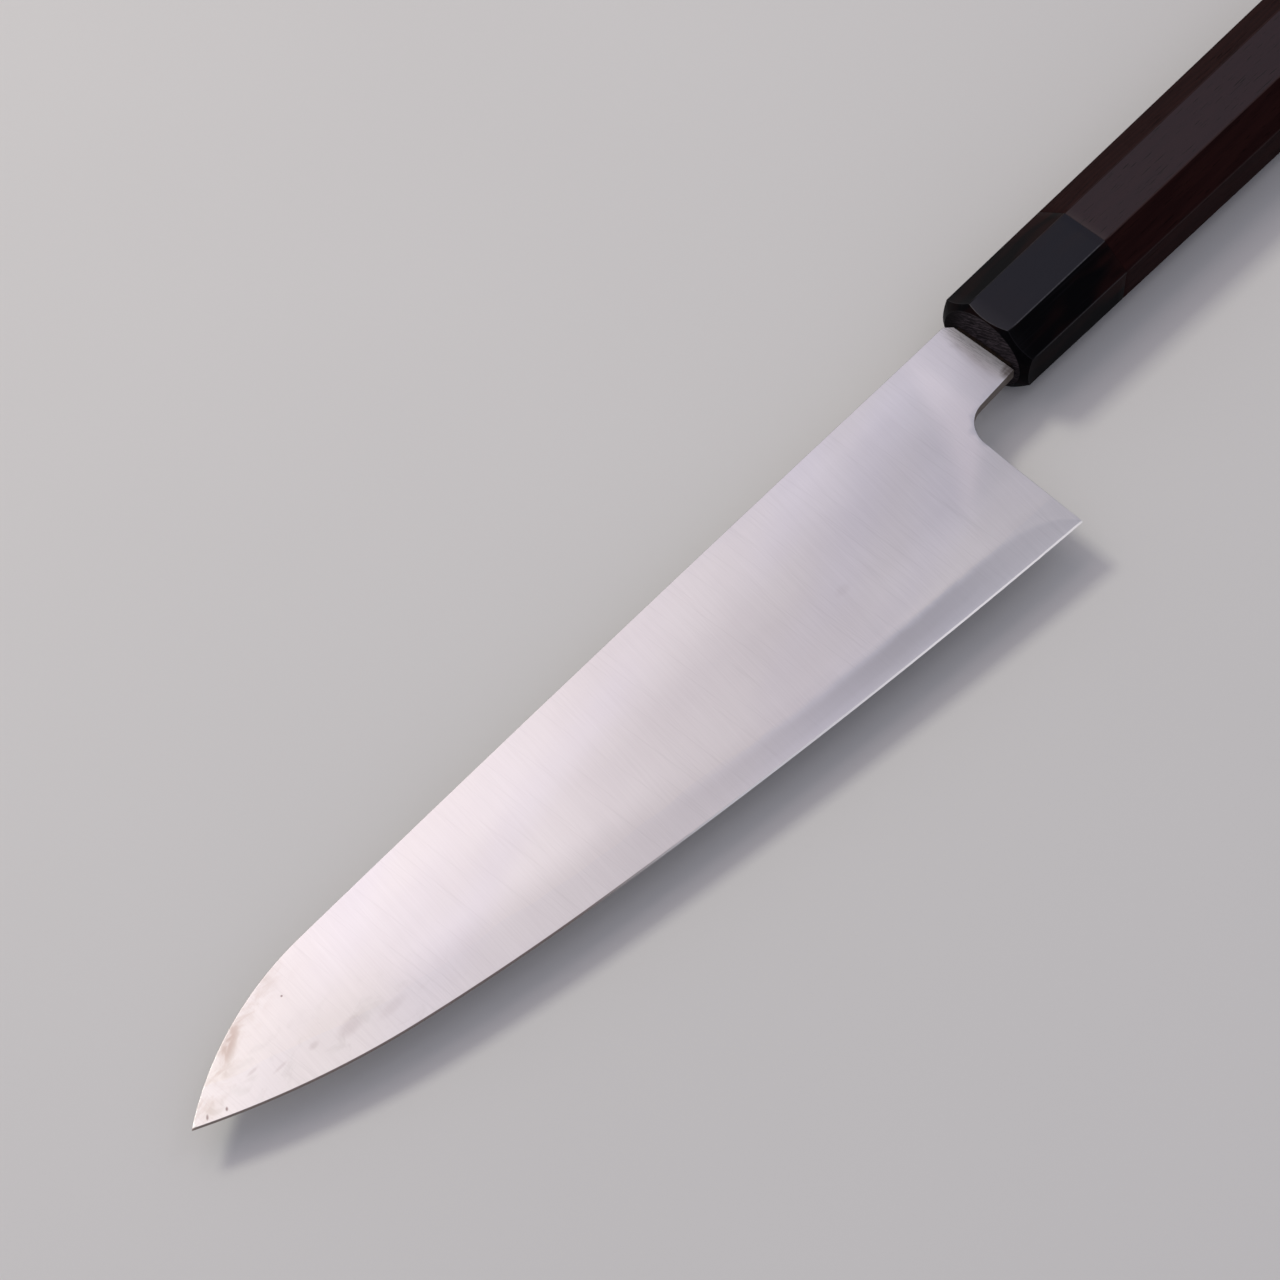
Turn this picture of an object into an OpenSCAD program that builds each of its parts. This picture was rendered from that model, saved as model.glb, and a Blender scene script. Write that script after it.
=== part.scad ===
// Japanese chef knife with an octagonal wa handle, lying on its side.
// Frame: +X runs to the blade tip, +Y to the cutting edge, +Z out of the blade's left face.
// Each node is drawn about the handle's own axis, with x = 0 at the ferrule's front face.
// It is then moved so that the origin is the bottom centre of the whole knife's box.
// Sizes are in millimetres and angles in degrees.

/* [Blade outline] */
// Distance of the tip in front of the ferrule
tip_x = 225.8; // [222:0.1:230]
// Height of the blade at the heel, square to the handle's axis
heel_height = 49.3; // [48:0.1:51]
// Distance of the heel corner in front of the ferrule
heel_x = 18.8; // [18:0.1:21]
// Radius of the long arc of the edge, from the heel forward
edge_r1 = 1600; // [1400:50:2000]
// Radius of the middle arc of the edge
edge_r2 = 525; // [500:12.5:600]
// Radius of the tip arc of the edge
edge_r3 = 181.25; // [150:6.25:187.5]
// How far the spine lies from the handle's axis at the neck
spine_y = 8.4; // [8:0.1:8.8]
// How far the neck's lower side lies from the handle's axis
neck_y = 8.6; // [7.6:0.1:9]
// Slope of the neck's lower side, widening toward the blade
neck_flare = 3; // [0:0.5:4]
// Radius of the choil, between the neck and the heel
choil_r = 6.8; // [4:0.1:7]
// Forward lean of the heel line
heel_lean = 2.5; // [0:0.1:6]
// Cut across the corner where the spine meets the shoulders
shoulder_cut = 1.5; // [0.5:0.1:2]

/* [Blade section] */
// Blade thickness at its shoulders, next to the ferrule
shoulder_t = 2.8; // [2.5:0.1:3.2]
// Blade thickness on the spine, above the heel
spine_t = 2.3; // [1.9:0.1:2.4]
// Blade thickness just behind the final edge bevel
behind_edge_t = 0.28; // [0.24:0.02:0.4]
// Width of the final edge bevel
edge_bevel_w = 0.4; // [0.4:0.1:0.8]
// Flat left on the very edge
edge_flat_t = 0.06; // [0.04:0.02:0.1]
// Fullness of the convex grind, 0 for a flat one
grind_fullness = 0.35; // [0:0.05:0.5]
// Thickness of the hard core layer between the two claddings
core_t = 0.66; // [0.5:0.02:0.8]

/* [Tang] */
// Length of the tang behind the ferrule's front face
tang_len = 84; // [70:1:100]
// Height of the tang at the ferrule's front face
tang_h_front = 10; // [8:0.5:10]
// Height of the tang where its point begins
tang_h_back = 6.4; // [5:0.2:7]
// Thickness of the tang at its back end
tang_t_back = 1.8; // [1.4:0.1:2.2]

/* [Handle] */
// Length of the ferrule and the wooden grip together
handle_len = 138; // [128:1:150]
// Length of the ferrule
ferrule_len = 31; // [26:1:34]
// Spine-to-edge width of the octagon at the ferrule's front
handle_w = 22; // [21:0.5:24]
// Side-to-side thickness of the octagon at the ferrule's front
handle_t = 18; // [17.5:0.5:20]
// Width of the flat on each side of the octagon, at the front
side_flat_w = 10; // [9:0.5:11]
// Height of the flats that face the spine and the edge, at the front
edge_flat_h = 8.4; // [7.6:0.2:9]
// Growth of the octagon in each 100 mm toward the butt
taper_per_100 = 0.085; // [0.05:0.005:0.12]
// Radius of the ferrule's round front face
face_r = 8.9; // [8.4:0.1:9.4]
// Angle between the handle's axis and the turned chamfer round the front face
face_chamfer_angle = 50; // [40:1:60]
// Chamfer along each facet at the butt
butt_chamfer = 1.2; // [0.6:0.1:2]

/* [Joint inside the handle] */
// Diameter of the dowel that joins the ferrule to the grip
dowel_d = 13; // [12.6:0.1:13.4]
// Thickness of horn left in front of the dowel
ferrule_wall = 5; // [4:0.5:7]
// How far the dowel goes into the grip
dowel_in_grip = 25; // [20:1:35]
// Room for adhesive on every side of the tang
adhesive_gap = 0.4; // [0.3:0.05:0.45]
// Gap between the blade's shoulders and the ferrule
shoulder_gap = 0.6; // [0.3:0.1:1]
// How far the seal in that gap stays inside the shoulders' ends
seal_inset = 0.8; // [0.4:0.1:1.2]

/* [Hidden] */

// Fineness of arcs: the blade's have radii up to metres, the handle's are small.
arc_fn = 720;
hole_fn = 96;
// Flat steps across the convex grind and along the nearly straight spine.
grind_steps = 5;
spine_steps = 6;
// Reach of a keeping or cutting block past what it shapes.
margin = 4;

// The edge falls toward the axis along three tangent arcs. The turn of the middle arc has
// a sine and a cosine that are short decimals, so that the arcs' blocks meet without slivers.
heel = [heel_x, heel_height - spine_y];
edge_a0 = 3.6;
edge_a1 = 8.1;
mid_turn = [0.07584, 0.99712];
edge_a2 = edge_a1 + atan2(mid_turn[0], mid_turn[1]);
edge_p1 = edge_next(heel, edge_r1, edge_a0, edge_a1);
edge_p2 = edge_next(edge_p1, edge_r2, edge_a1, edge_a2);
edge_a3 = asin(sin(edge_a2) + (tip_x - edge_p2[0]) / edge_r3);
tip = edge_next(edge_p2, edge_r3, edge_a2, edge_a3);
// The end of the middle arc, seen from its start with the start's own square direction as Y.
mid_end = edge_r2 * (mid_turn - [0, 1]);
// Blocks that trim the arcs run this far behind the first junction and past the second.
grind_back = 170;
grind_ahead = 70;

// The spine is level, then bows slowly, then drops along one tangent arc to the tip.
spine_a1 = 0.9;
spine_bow_x = 24;
drop_len = 40.5;
spine_r1 = (tip[0] - drop_len - spine_bow_x) / sin(spine_a1);
spine_p0 = [spine_bow_x, -spine_y];
spine_p1 = spine_next(spine_p0, spine_r1, 0, spine_a1);
spine_a2 = 2 * atan2(tip[1] - spine_p1[1], tip[0] - spine_p1[0]) - spine_a1;
spine_r2 = norm(tip - spine_p1) / (2 * sin((spine_a2 - spine_a1) / 2));
// Depth of the blocks that keep the blade's side of the spine: to past the heel corner.
spine_reach = heel_height + 1;
// A tangent disc is this much larger, so that it crosses its neighbour instead of grazing it.
crossing = 0.01;

// Half thicknesses of the blade, and the depth of its ground profile above the edge.
half_edge = edge_flat_t / 2;
half_behind = behind_edge_t / 2;
half_spine = spine_t / 2;
grind_depth = heel_height + margin;

// The neck is thickest at the shoulders, thins at the choil and sinks into the grind.
half_shoulder = shoulder_t / 2;
neck_choil_x = 12;
half_choil = 1.2;
neck_end_x = 32;
half_neck_end = 0.55;
neck_low_y = 30;
half_neck_low = 0.2;

// Centre of the choil's arc, tangent to the neck's lower side and to the heel line.
choil_x = (heel_line_x(neck_y + choil_r / cos(neck_flare)) - choil_r / cos(heel_lean))
          / (1 - tan(neck_flare) * tan(heel_lean));
choil_y = neck_y + choil_x * tan(neck_flare) + choil_r / cos(neck_flare);

// The tang starts inside the neck, just under its flats, and ends in a short blunt point.
tang_start = 2;
tang_sink = 0.1;
tang_point = 5;
half_tang_front = half_shoulder - tang_sink;
half_tang_back = tang_t_back / 2;
// The room for the tang runs on behind its point.
room_spare = 3;
room_back = -(tang_len + room_spare);
dowel_back = -(ferrule_len + dowel_in_grip);
// The seal stands this far over the flats of the shoulders, so it covers the tang in the gap.
seal_proud = 0.1;

// Direction square to the octagon's slanted facets, and their distance from the axis.
slant = atan2(handle_w - side_flat_w, handle_t - edge_flat_h);
slant_half = side_flat_w / 2 * cos(slant) + handle_t / 2 * sin(slant);

// Place of the handle's axis in the whole knife's box. The butt is widest before its chamfer.
butt_scale = octagon_scale(butt_chamfer - handle_len);
x_mid = (tip[0] - handle_len) / 2;
y_mid = (heel[1] - butt_scale * handle_w / 2) / 2;
z_lift = butt_scale * handle_t / 2;

// End of an arc of the edge, which falls toward the axis from angle a to angle b.
function edge_next(p, r, a, b) = [p[0] + r * (sin(b) - sin(a)), p[1] + r * (cos(b) - cos(a))];
// End of an arc of the spine, which rises toward the axis from angle a to angle b.
function spine_next(p, r, a, b) = [p[0] + r * (sin(b) - sin(a)), p[1] + r * (cos(a) - cos(b))];
// Station of the heel line at a given height.
function heel_line_x(y) = heel[0] - (heel[1] - y) * tan(heel_lean);
// Size of the octagon at a station, as a share of its size at the ferrule's front.
function octagon_scale(x) = 1 - taper_per_100 * x / 100;
// Half thickness of the ground blade at a share u of the way from the bevel to full depth.
function grind_half(u) =
  half_behind + (half_spine - half_behind) * (u + grind_fullness * u * (1 - u));
// A profile mirrored about its own x axis, as one closed outline.
function both_sides(pts) = concat(pts, [for (i = [len(pts) - 1:-1:0]) [pts[i][0], -pts[i][1]]]);

module placed() {
  translate([-x_mid, -y_mid, z_lift]) children();
}

// Block that reaches past the blade on both sides, from a plan view outline.
module plan_block(pts) {
  linear_extrude(height = 2 * margin, center = true) polygon(pts);
}

// Block that reaches past the blade above and below, from an outline in X and Z.
module side_block(pts) {
  rotate([90, 0, 0]) linear_extrude(height = 3 * heel_height, center = true) polygon(pts);
}

// Body turned about an arc's centre. Its profile is given by the depth from the edge,
// so the blade gets thinner toward the tip on its own.
module ground_disc(centre, r) {
  profile = concat([[r, half_edge]],
                   [for (i = [0:grind_steps])
                     [r - edge_bevel_w - (heel_height - edge_bevel_w) * i / grind_steps,
                      grind_half(i / grind_steps)]],
                   [[r - grind_depth, half_spine]]);
  translate([centre[0], centre[1], 0])
    rotate_extrude($fn = arc_fn) polygon(both_sides(profile));
}

// The three arcs of the ground blade, each trimmed where it meets the next. The first block is
// deeper at its far end, where the arc has curved away.
module grind() {
  low = [0, -grind_depth - margin];
  high = [0, margin];
  low_2 = mid_end - (grind_depth + margin) * mid_turn;
  high_2 = mid_end + margin * mid_turn;
  translate([edge_p1[0], edge_p1[1], 0]) rotate([0, 0, -edge_a1]) {
    intersection() {
      plan_block([low, high, high - [grind_back, 0], low - [grind_back, margin]]);
      ground_disc([0, -edge_r1], edge_r1);
    }
    intersection() {
      plan_block([low, high, high_2, low_2]);
      ground_disc([0, -edge_r2], edge_r2);
    }
    intersection() {
      plan_block([low_2, high_2, high_2 + [grind_ahead, 0], low_2 + [grind_ahead, 0]]);
      ground_disc(mid_end - edge_r3 * mid_turn, edge_r3);
    }
  }
}

// Thicker neck: it thins along the blade and toward the heel, and ends inside the grind.
module neck() {
  intersection() {
    side_block(both_sides([[0, half_shoulder], [neck_choil_x, half_choil],
                           [neck_end_x, half_neck_end]]));
    rotate([90, 0, 90])
      linear_extrude(height = neck_end_x)
        polygon(both_sides([[-spine_y - margin, half_shoulder], [neck_y, half_shoulder],
                            [neck_low_y, half_neck_low]]));
  }
}

// Everything on the edge side of the spine and in front of the shoulders.
module spine_side() {
  bow = [for (i = [0:spine_steps])
    spine_next(spine_p0, spine_r1, 0, spine_a1 * i / spine_steps)];
  bow_far = spine_p1 + spine_reach * [-sin(spine_a1), cos(spine_a1)];
  plan_block(concat([[shoulder_gap, bow_far[1]], [shoulder_gap, shoulder_cut - spine_y],
                     [shoulder_gap + shoulder_cut, -spine_y]], bow, [bow_far]));
  intersection() {
    plan_block([[spine_p1[0] - margin, -spine_y - margin], [tip[0] + margin, -spine_y - margin],
                [tip[0] + margin, bow_far[1]], [bow_far[0] - margin, bow_far[1]]]);
    translate([spine_p1[0] - spine_r2 * sin(spine_a1), spine_p1[1] + spine_r2 * cos(spine_a1), 0])
      cylinder(h = 2 * margin, r = spine_r2 + crossing, center = true, $fn = arc_fn);
  }
}

// Notch between the heel and the handle: under the neck, behind the heel line, round between.
module choil_notch() {
  far_y = heel[1] + margin;
  plan_block([[-margin, neck_y - margin * tan(neck_flare)],
              [choil_x + choil_r * sin(neck_flare), choil_y - choil_r * cos(neck_flare)],
              [choil_x, choil_y],
              [choil_x + choil_r * cos(heel_lean), choil_y - choil_r * sin(heel_lean)],
              [heel_line_x(far_y), far_y],
              [-margin, far_y]]);
  translate([choil_x, choil_y, 0])
    cylinder(h = 2 * margin, r = choil_r + crossing, center = true, $fn = hole_fn);
}

module blade() {
  difference() {
    intersection() {
      union() {
        grind();
        neck();
      }
      spine_side();
    }
    choil_notch();
  }
}

// The tang narrows and thins toward a blunt point.
module tang() {
  intersection() {
    plan_block([[tang_start, -tang_h_front / 2], [tang_start, tang_h_front / 2],
                [tang_point - tang_len, tang_h_back / 2], [-tang_len, tang_h_back / 4],
                [-tang_len, -tang_h_back / 4], [tang_point - tang_len, -tang_h_back / 2]]);
    side_block(both_sides([[tang_start, half_tang_front], [-tang_len, half_tang_back]]));
  }
}

// Room cut for the tang through the ferrule, the dowel and the grip.
module tang_room(front, back) {
  intersection() {
    plan_block(both_sides([[tang_start, tang_h_front / 2 + adhesive_gap],
                           [room_back, tang_h_back / 2 + adhesive_gap]]));
    side_block(both_sides([[tang_start, half_tang_front + adhesive_gap],
                           [room_back, half_tang_back + adhesive_gap]]));
    plan_block(both_sides([[front, heel_height], [back, heel_height]]));
  }
}

module steel() {
  blade();
  tang();
}

// Slice of the forged blade and tang between two levels, measured from its middle plane.
module steel_layer(low, high) {
  intersection() {
    steel();
    translate([-handle_len, -heel_height, low])
      cube([handle_len + tip[0] + margin, 2 * heel_height, high - low]);
  }
}

// Pair of opposite facets of the tapered octagon, turned about the axis.
module facet_pair(turn, half, front, back, chamfer) {
  rim = back + chamfer;
  rotate([turn, 0, 0])
    linear_extrude(height = 2 * handle_w, center = true)
      polygon(both_sides([[front, half * octagon_scale(front)],
                          [rim, half * octagon_scale(rim)],
                          [back, half * octagon_scale(rim) - chamfer]]));
}

module octagon(front, back, chamfer) {
  intersection() {
    facet_pair(0, handle_w / 2, front, back, chamfer);
    facet_pair(90, handle_t / 2, front, back, chamfer);
    facet_pair(slant, slant_half, front, back, chamfer);
    facet_pair(-slant, slant_half, front, back, chamfer);
  }
}

// Round bore for the dowel, along the handle's axis.
module dowel_bore(front, back) {
  translate([back, 0, 0]) rotate([0, 90, 0]) cylinder(h = front - back, d = dowel_d, $fn = hole_fn);
}

module hagane_core() {
  color([0.62, 0.64, 0.68]) placed() steel_layer(-core_t / 2, core_t / 2);
}

module cladding_left() {
  color([0.76, 0.76, 0.78]) placed() steel_layer(core_t / 2, margin);
}

module cladding_right() {
  color([0.76, 0.76, 0.78]) placed() steel_layer(-margin, -core_t / 2);
}

// Dark filler in the ferrule's slot and round the tang in the gap behind the shoulders.
module slot_seal() {
  seal_low = shoulder_cut + seal_inset - spine_y;
  seal_high = neck_y - seal_inset;
  seal_z = half_shoulder + seal_proud;
  color([0.10, 0.09, 0.09]) placed() difference() {
    union() {
      tang_room(0, -ferrule_wall);
      translate([0, seal_low, -seal_z]) cube([shoulder_gap, seal_high - seal_low, 2 * seal_z]);
    }
    tang();
  }
}

module ferrule() {
  color([0.12, 0.12, 0.14]) placed() difference() {
    intersection() {
      octagon(0, -ferrule_len, 0);
      rotate([0, -90, 0])
        cylinder(h = ferrule_len, r1 = face_r, r2 = face_r + ferrule_len * tan(face_chamfer_angle),
                 $fn = hole_fn);
    }
    dowel_bore(-ferrule_wall, -ferrule_len - margin);
    tang_room(margin, -ferrule_wall - margin);
  }
}

module dowel() {
  color([0.78, 0.66, 0.48]) placed() difference() {
    dowel_bore(-ferrule_wall, dowel_back);
    tang_room(0, dowel_back - margin);
  }
}

// Cured bed of adhesive round the tang, behind the ferrule's front wall.
module tang_adhesive() {
  color([0.80, 0.72, 0.52]) placed() difference() {
    tang_room(-ferrule_wall, room_back);
    tang();
  }
}

module handle_body() {
  color([0.30, 0.16, 0.14]) placed() difference() {
    octagon(-ferrule_len, -handle_len, butt_chamfer);
    dowel_bore(-ferrule_len + margin, dowel_back);
    tang_room(0, room_back);
  }
}

hagane_core();
cladding_left();
cladding_right();
slot_seal();
ferrule();
dowel();
tang_adhesive();
handle_body();
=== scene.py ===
"""Japanese chef knife with an octagonal wa handle: its looks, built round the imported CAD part.

Shapes are worked out in millimetres in the knife's own axes: x runs forward from the ferrule's
front face to the tip, y from the handle's axis to the cutting edge, z out of the left face.
They are then moved to the CAD frame, in metres.
"""

import math

import bpy
import numpy as np
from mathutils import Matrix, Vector
from mathutils.geometry import delaunay_2d_cdt


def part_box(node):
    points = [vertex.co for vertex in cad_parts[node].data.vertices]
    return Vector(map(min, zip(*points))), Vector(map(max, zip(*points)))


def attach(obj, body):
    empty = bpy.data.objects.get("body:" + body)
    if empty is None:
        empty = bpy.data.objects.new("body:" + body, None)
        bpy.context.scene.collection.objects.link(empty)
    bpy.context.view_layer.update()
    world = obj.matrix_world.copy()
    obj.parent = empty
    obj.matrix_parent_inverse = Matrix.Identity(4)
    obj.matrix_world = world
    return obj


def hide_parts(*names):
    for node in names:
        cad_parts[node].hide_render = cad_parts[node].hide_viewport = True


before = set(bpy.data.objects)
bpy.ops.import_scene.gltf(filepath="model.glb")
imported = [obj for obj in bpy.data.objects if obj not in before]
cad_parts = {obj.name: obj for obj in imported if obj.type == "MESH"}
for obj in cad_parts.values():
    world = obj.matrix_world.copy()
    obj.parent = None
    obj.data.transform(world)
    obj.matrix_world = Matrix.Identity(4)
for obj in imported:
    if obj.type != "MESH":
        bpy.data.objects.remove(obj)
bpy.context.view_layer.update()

MM = 0.001
UV_NAME = "Knife"
# The knife's origin in the CAD frame: the middle of the ferrule's front face.
ferrule_low, ferrule_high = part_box("ferrule")
AXIS = Vector((ferrule_high.x, *((ferrule_low[i] + ferrule_high[i]) / 2 for i in (1, 2))))

# Outline of the blade.
HEEL = np.array([18.8, 40.9])
TIP_X = 225.8
HEEL_HEIGHT = 49.3
EDGE_RADII = (1600.0, 525.0, 181.25)
EDGE_START, EDGE_MIDDLE = math.radians(3.6), math.radians(8.1)
# Turn of the edge's middle arc, from its sine and cosine.
EDGE_TURN = math.atan2(0.07584, 0.99712)
SPINE_Y = 8.4
SPINE_BOW_X = 24.0
SPINE_ANGLE = math.radians(0.9)
DROP_LENGTH = 40.5
NECK_Y = 8.6
NECK_FLARE = math.radians(3)
CHOIL_RADIUS = 6.8
HEEL_LEAN = math.radians(2.5)
SHOULDER_X = 0.6
SHOULDER_CUT = 1.5
# The mesh line beside the shoulders' rounded arris.
SHOULDER_LINE_X = 0.66

# Half thicknesses of the blade and the tang.
HALF_SPINE, HALF_BEHIND, HALF_EDGE = 1.15, 0.14, 0.03
HALF_SHOULDER, HALF_CORE = 1.4, 0.33
# How the neck thins: along it (distances and half thicknesses), and below it for each millimetre.
NECK_STATIONS, NECK_HALVES = (0, 12, 32), (HALF_SHOULDER, 1.2, 0.55)
NECK_THINNING = 0.056
BEVEL_WIDTH = 0.4
GRIND_FULLNESS = 0.35
CLADDING_DEPTH = 7.47
SPINE_EASE, NECK_EASE, HEEL_EASE, SHOULDER_EASE = 0.11, 0.16, 0.08, 0.1
TANG_LENGTH, TANG_POINT = 84.0, 5.0
HALF_TANG_FRONT, HALF_TANG_BACK = 1.3, 0.9
TANG_HALF_FRONT_Y, TANG_HALF_BACK_Y = 5.0, 3.2

# The handle.
HANDLE_LENGTH, FERRULE_LENGTH, FERRULE_WALL = 138.0, 31.0, 5.0
TAPER = 0.00085
CORNERS = np.array([[11.0, 4.2], [5.0, 9.0], [-5.0, 9.0], [-11.0, 4.2]])
CORNERS = np.vstack([CORNERS, -CORNERS])
# How much each arris is lightened, partly by wear and partly by a painted glint; most on the ones
# beside the broad flats, toward the edge.
ARRIS_WEAR_AND_GLINT = (0.35, 1.0, 0.3, 0.3, 0.3, 0.3, 1.0, 0.35)
BORE_RADIUS, BORE_BACK = 6.5, -56.0
SLOT_HALF_Y, SLOT_HALF_Z = 5.4, 1.7
# The tang's room in the grip behind the bore: its end, and half sizes there and at the bore.
ROOM_BACK, ROOM_BACK_HALF, ROOM_FRONT_HALF = -87.0, (3.6, 1.3), (4.4, 1.45)
FACE_HALF_Y, FACE_HALF_Z = 9.6, 8.72
FACE_SLOPE = math.tan(math.radians(50))
BUTT_CHAMFER = 1.2
# Edges of the handle's pieces that bend more than this, in degrees, are drawn sharp.
HANDLE_SHARP = 40


# ---------------------------------------------------------------- blade outline

def fall(centre, radius, angles):
    """Points of an arc of the edge, or beside it. Angles are measured from +y toward +x."""
    a = np.atleast_1d(angles)
    return np.column_stack([centre[0] + radius * np.sin(a), centre[1] + radius * np.cos(a)])


def rise(centre, radius, angles):
    """Points of an arc of the spine or the choil. Angles are measured from -y toward +x."""
    a = np.atleast_1d(angles)
    return np.column_stack([centre[0] + radius * np.sin(a), centre[1] - radius * np.cos(a)])


def edge_arcs():
    """(centre, radius, first angle, last angle) of each arc from heel to tip, and the tip."""
    angles = [EDGE_START, EDGE_MIDDLE, EDGE_MIDDLE + EDGE_TURN]
    arcs, start = [], HEEL
    for i, radius in enumerate(EDGE_RADII):
        a = angles[i]
        centre = start - radius * np.array([math.sin(a), math.cos(a)])
        b = angles[i + 1] if i < 2 else math.asin((TIP_X - centre[0]) / radius)
        arcs.append((centre, radius, a, b))
        start = fall(centre, radius, b)[0]
    return arcs, start


EDGE_ARCS, TIP = edge_arcs()

bow_radius = (TIP_X - DROP_LENGTH - SPINE_BOW_X) / math.sin(SPINE_ANGLE)
BOW = (np.array([SPINE_BOW_X, bow_radius - SPINE_Y]), bow_radius)
DROP_START = rise(*BOW, SPINE_ANGLE)[0]
drop_chord = TIP - DROP_START
DROP_END_ANGLE = 2 * math.atan2(drop_chord[1], drop_chord[0]) - SPINE_ANGLE
drop_radius = np.linalg.norm(drop_chord) / (2 * math.sin((DROP_END_ANGLE - SPINE_ANGLE) / 2))
DROP = (
    DROP_START + drop_radius * np.array([-math.sin(SPINE_ANGLE), math.cos(SPINE_ANGLE)]),
    drop_radius,
)


def heel_line_x(y):
    """Where the heel line is at a height."""
    return HEEL[0] - (HEEL[1] - y) * math.tan(HEEL_LEAN)


choil_x = (
    heel_line_x(NECK_Y + CHOIL_RADIUS / math.cos(NECK_FLARE)) - CHOIL_RADIUS / math.cos(HEEL_LEAN)
) / (1 - math.tan(NECK_FLARE) * math.tan(HEEL_LEAN))
CHOIL = np.array(
    [choil_x, NECK_Y + choil_x * math.tan(NECK_FLARE) + CHOIL_RADIUS / math.cos(NECK_FLARE)]
)


def edge_frame(p):
    """(depth square to the edge, distance along the edge from the heel) of points."""
    depth, along = np.zeros(len(p)), np.zeros(len(p))
    run, todo = 0.0, np.ones(len(p), bool)
    for i, (centre, radius, a, b) in enumerate(EDGE_ARCS):
        d = p - centre
        angle = np.arctan2(d[:, 0], d[:, 1])
        here = todo & ((angle < b) | (i == 2))
        depth[here] = (radius - np.hypot(d[:, 0], d[:, 1]))[here]
        along[here] = (run + (angle - a) * radius)[here]
        todo &= ~here
        run += (b - a) * radius
    return depth, along


def spine_depth(p):
    """Depth from the spine: its straight start, its bow and its drop to the tip."""
    bow = BOW[1] - np.hypot(*(p - BOW[0]).T)
    drop = DROP[1] - np.hypot(*(p - DROP[0]).T)
    past = (p - DROP_START) @ np.array([math.cos(SPINE_ANGLE), math.sin(SPINE_ANGLE)])
    return np.where(p[:, 0] < SPINE_BOW_X, p[:, 1] + SPINE_Y, np.where(past < 0, bow, drop))


def back_depth(p):
    """Depth from the neck's lower side, the choil and the heel line, whichever is nearest."""
    neck = (NECK_Y + p[:, 0] * math.tan(NECK_FLARE) - p[:, 1]) * math.cos(NECK_FLARE)
    heel = (p[:, 0] - heel_line_x(p[:, 1])) * math.cos(HEEL_LEAN)
    d = p - CHOIL
    before = d @ np.array([math.cos(NECK_FLARE), math.sin(NECK_FLARE)]) < 0
    past = d @ np.array([math.sin(HEEL_LEAN), math.cos(HEEL_LEAN)]) > 0
    arc = np.hypot(d[:, 0], d[:, 1]) - CHOIL_RADIUS
    return np.where(past, heel, np.where(before, neck, arc))


def cut_depth(p):
    """Depth from the small cut across the corner of the spine and the shoulders."""
    return (p[:, 0] - SHOULDER_X + p[:, 1] + SPINE_Y - SHOULDER_CUT) / math.sqrt(2)


def smooth_min(a, b, k):
    """The smaller of two values, rounded where they differ by less than k."""
    h = np.maximum(k - np.abs(a - b), 0) / k
    return np.minimum(a, b) - h * h * k / 4


def eased(height, depth, radius):
    """Height lowered by a rounded arris of that radius along an outline."""
    r = np.minimum(radius, 0.15 * height)
    inside = np.clip(r - depth, 0, r)
    return height - r + np.sqrt(np.maximum(r * r - inside * inside, 0))


def half_thickness(p):
    """Half the thickness of blade and tang, from the grind, the bevel, the neck and the arrises."""
    x, y = p[:, 0], p[:, 1]
    depth, _ = edge_frame(p)
    u = np.clip((depth - BEVEL_WIDTH) / (HEEL_HEIGHT - BEVEL_WIDTH), 0, 1)
    ground = HALF_BEHIND + (HALF_SPINE - HALF_BEHIND) * (u + GRIND_FULLNESS * u * (1 - u))
    bevel = HALF_EDGE + (HALF_BEHIND - HALF_EDGE) * np.clip(depth / BEVEL_WIDTH, 0, 1)
    ground = np.minimum(ground, bevel + (depth > BEVEL_WIDTH) * HALF_SPINE)
    along_neck = np.interp(x, NECK_STATIONS, NECK_HALVES)
    along_neck = np.where(x < NECK_STATIONS[-1], along_neck, 0)
    thinned = HALF_SHOULDER - NECK_THINNING * (y - NECK_Y)
    down_neck = smooth_min(HALF_SHOULDER + 0 * y, thinned, 0.2)
    neck = smooth_min(along_neck, down_neck, 0.1)
    blade = -smooth_min(-ground, -neck, 0.08)
    back = back_depth(p)
    heel_side = y > CHOIL[1]
    shape = np.minimum(
        eased(blade, spine_depth(p), SPINE_EASE),
        eased(blade, back, np.where(heel_side, HEEL_EASE, NECK_EASE)),
    )
    shape = np.minimum(shape, eased(blade, x - SHOULDER_X, SHOULDER_EASE))
    shape = np.minimum(shape, eased(blade, cut_depth(p), SPINE_EASE))
    shape = np.where(depth < BEVEL_WIDTH * 1.5, np.minimum(shape, ground), shape)
    share = (x + TANG_LENGTH) / (TANG_LENGTH + 2)
    tang = HALF_TANG_BACK + (HALF_TANG_FRONT - HALF_TANG_BACK) * share
    in_tang = (x < SHOULDER_X + 1e-3) & (np.abs(y) < TANG_HALF_FRONT_Y + 0.01)
    return np.where(in_tang, tang, shape)


def stations(length, spacing):
    """Shares from 0 to 1 that divide a length about evenly."""
    return np.linspace(0, 1, max(2, int(math.ceil(length / spacing)) + 1))


def edge_line(depth_at, spacing):
    """Line at a depth from the edge that may vary with the distance from the heel."""
    points, run = [], 0.0
    for centre, radius, a, b in EDGE_ARCS:
        t = stations((b - a) * radius, spacing)
        angles = a + (b - a) * t
        depth = depth_at(run + (angles - a) * radius)
        points.append(fall(centre, radius - depth, angles))
        run += (b - a) * radius
    return joined(points)


def joined(parts):
    """Point lists in one, without the repeated points where they meet."""
    out = [parts[0]]
    for part in parts[1:]:
        out.append(part[1:])
    return np.vstack(out)


def segment(a, b, spacing):
    """Evenly spaced points of a straight line."""
    a, b = np.asarray(a, float), np.asarray(b, float)
    t = stations(np.linalg.norm(b - a), spacing)
    return a + t[:, None] * (b - a)


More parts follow.
